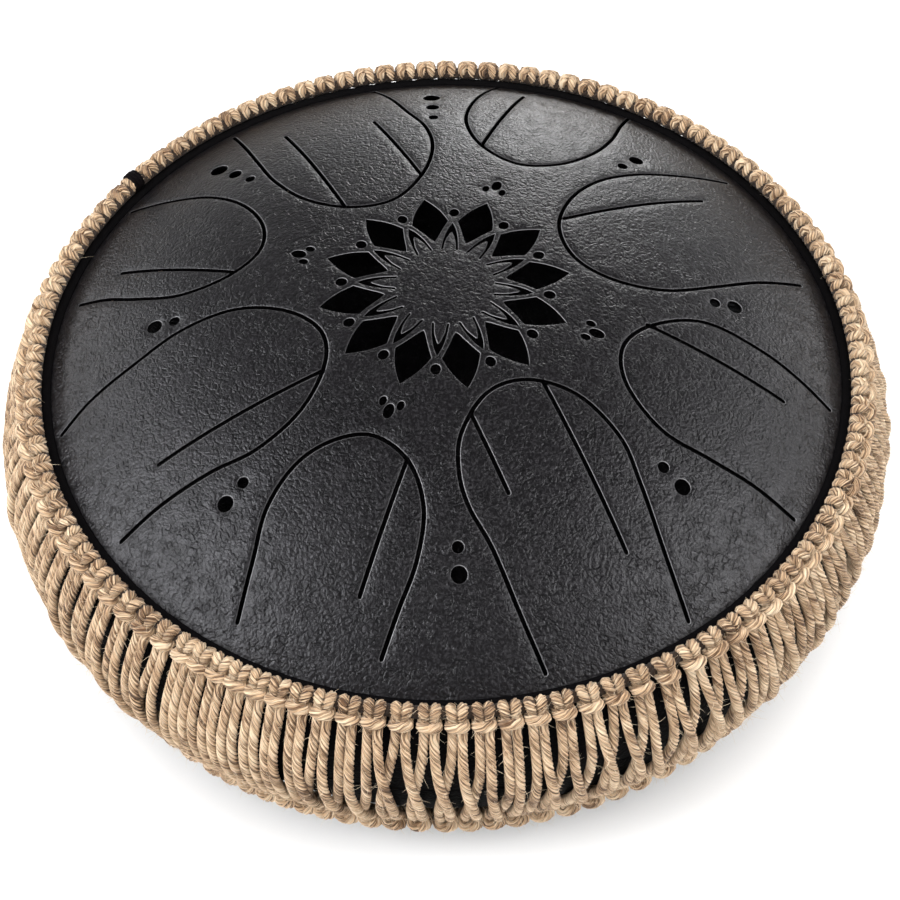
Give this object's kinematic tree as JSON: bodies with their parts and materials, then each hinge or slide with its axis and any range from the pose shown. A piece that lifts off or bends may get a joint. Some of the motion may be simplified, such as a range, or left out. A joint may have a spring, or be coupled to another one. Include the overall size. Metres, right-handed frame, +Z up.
{
  "type": "steel tongue drum",
  "caption": "Round domed steel tongue drum with slit-cut tongues, a lotus-shaped sound hole, a knotted jute rope net round its rim and rubber feet.",
  "frame": {"origin": "on the drum's axis, on the surface that its feet stand on", "axes": "+Z up along the drum's axis; +Y away from the player; +X to the player's right"},
  "size_m": [0.4286, 0.4286, 0.189],
  "materials": {
    "coated_steel": "charcoal powder coat with a fine hammered, crackled texture and a satin sheen",
    "jute_cord": "natural twisted jute twine, fuzzy, tan with darker creases",
    "adhesive": "black structural adhesive bead in the seam",
    "binding_tape": "black wrapped binding",
    "rim_rubber": "matt black cushioning strip",
    "rubber_feet": "matt black rubber"
  },
  "bodies": {
    "root": {"top_shell": "coated_steel", "bottom_shell": "coated_steel", "seam_bead": "adhesive", "upper_cord_ring": "jute_cord", "lower_cord_ring": "jute_cord", "net_cords_01": "jute_cord", "net_cords_02": "jute_cord", "net_cords_03": "jute_cord", "net_cords_04": "jute_cord", "net_cords_05": "jute_cord", "net_cords_06": "jute_cord", "net_cords_07": "jute_cord", "net_cords_08": "jute_cord", "net_cords_09": "jute_cord", "net_cords_10": "jute_cord", "net_cords_11": "jute_cord", "net_cords_12": "jute_cord", "net_cords_13": "jute_cord", "net_cords_14": "jute_cord", "rim_strip": "rim_rubber", "ring_binding": "binding_tape", "foot_1": "rubber_feet", "foot_2": "rubber_feet", "foot_3": "rubber_feet", "foot_4": "rubber_feet"}
  },
  "joints": []
}
